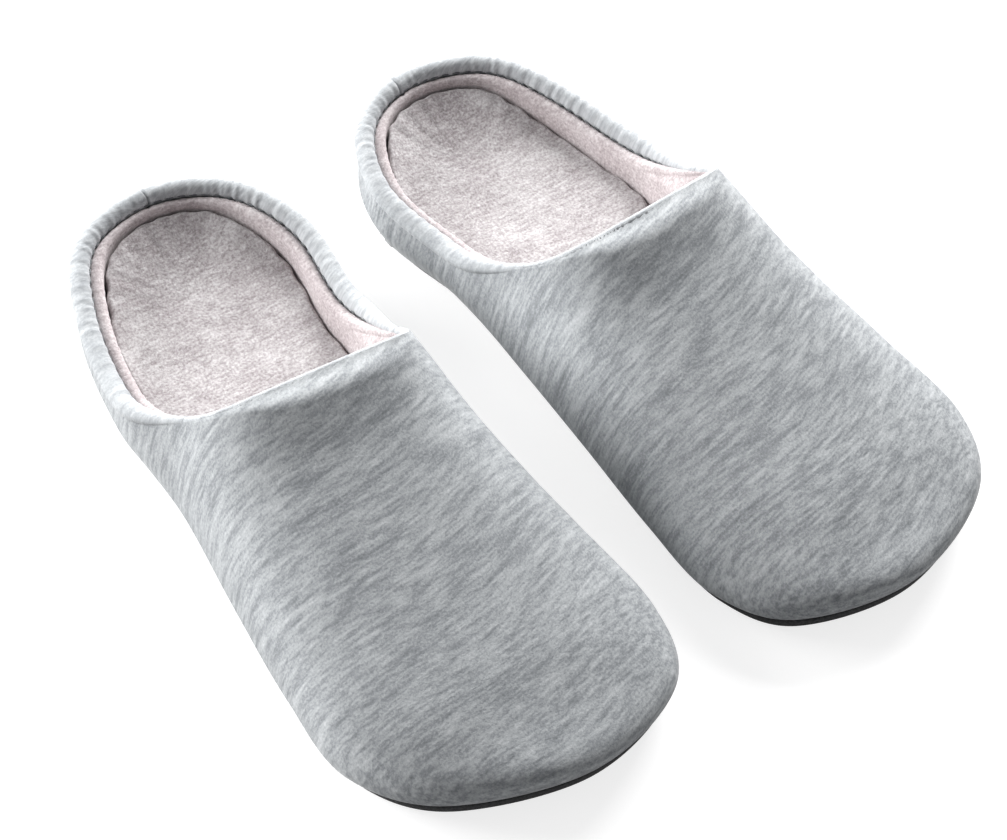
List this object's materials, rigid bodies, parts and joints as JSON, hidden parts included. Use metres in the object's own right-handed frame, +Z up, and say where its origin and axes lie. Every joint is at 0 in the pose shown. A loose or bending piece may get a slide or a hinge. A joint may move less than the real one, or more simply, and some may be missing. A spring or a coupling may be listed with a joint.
{
  "type": "spa slippers",
  "caption": "Closed-toe slip-on spa slippers: padded heather knit uppers, rolled heel collar, soft terry lining and footbed, thin flexible rubber outsole with a little toe spring.",
  "frame": {"origin": "middle of the pair's footprint, on the floor", "axes": "+X to the wearer's right, +Y from the heels to the toes, +Z up"},
  "size_m": [0.2492, 0.276, 0.0735],
  "materials": {
    "jersey_knit": "heather grey jersey knit, matt",
    "terry": "short-pile terry, pale rose grey, matt",
    "rubber_outsole": "moulded rubber, matt dark grey",
    "eva_midsole": "closed-cell foam, off white",
    "insole_board": "cellulose board, buff",
    "padding_foam": "open-cell foam, off white",
    "heel_counter": "resin-stiffened non-woven, beige",
    "piping_cord": "cotton piping cord, natural white",
    "sewing_thread": "polyester sewing thread, mid grey"
  },
  "bodies": {
    "right_slipper": {"right_outsole": "rubber_outsole", "right_midsole": "eva_midsole", "right_insole_board": "insole_board", "right_footbed_foam": "padding_foam", "right_footbed_terry": "terry", "right_upper_knit": "jersey_knit", "right_upper_foam": "padding_foam", "right_upper_lining": "terry", "right_heel_counter": "heel_counter", "right_collar_roll": "jersey_knit", "right_collar_cord": "piping_cord", "right_collar_thread": "sewing_thread", "right_mouth_hem": "jersey_knit"},
    "left_slipper": {"left_outsole": "rubber_outsole", "left_midsole": "eva_midsole", "left_insole_board": "insole_board", "left_footbed_foam": "padding_foam", "left_footbed_terry": "terry", "left_upper_knit": "jersey_knit", "left_upper_foam": "padding_foam", "left_upper_lining": "terry", "left_heel_counter": "heel_counter", "left_collar_roll": "jersey_knit", "left_collar_cord": "piping_cord", "left_collar_thread": "sewing_thread", "left_mouth_hem": "jersey_knit"}
  },
  "joints": [
    {"name": "left_lift", "type": "slide", "parent": "right_slipper", "child": "left_slipper", "axis": [0, 0, 1], "range_m": [0, 0.25]}
  ]
}
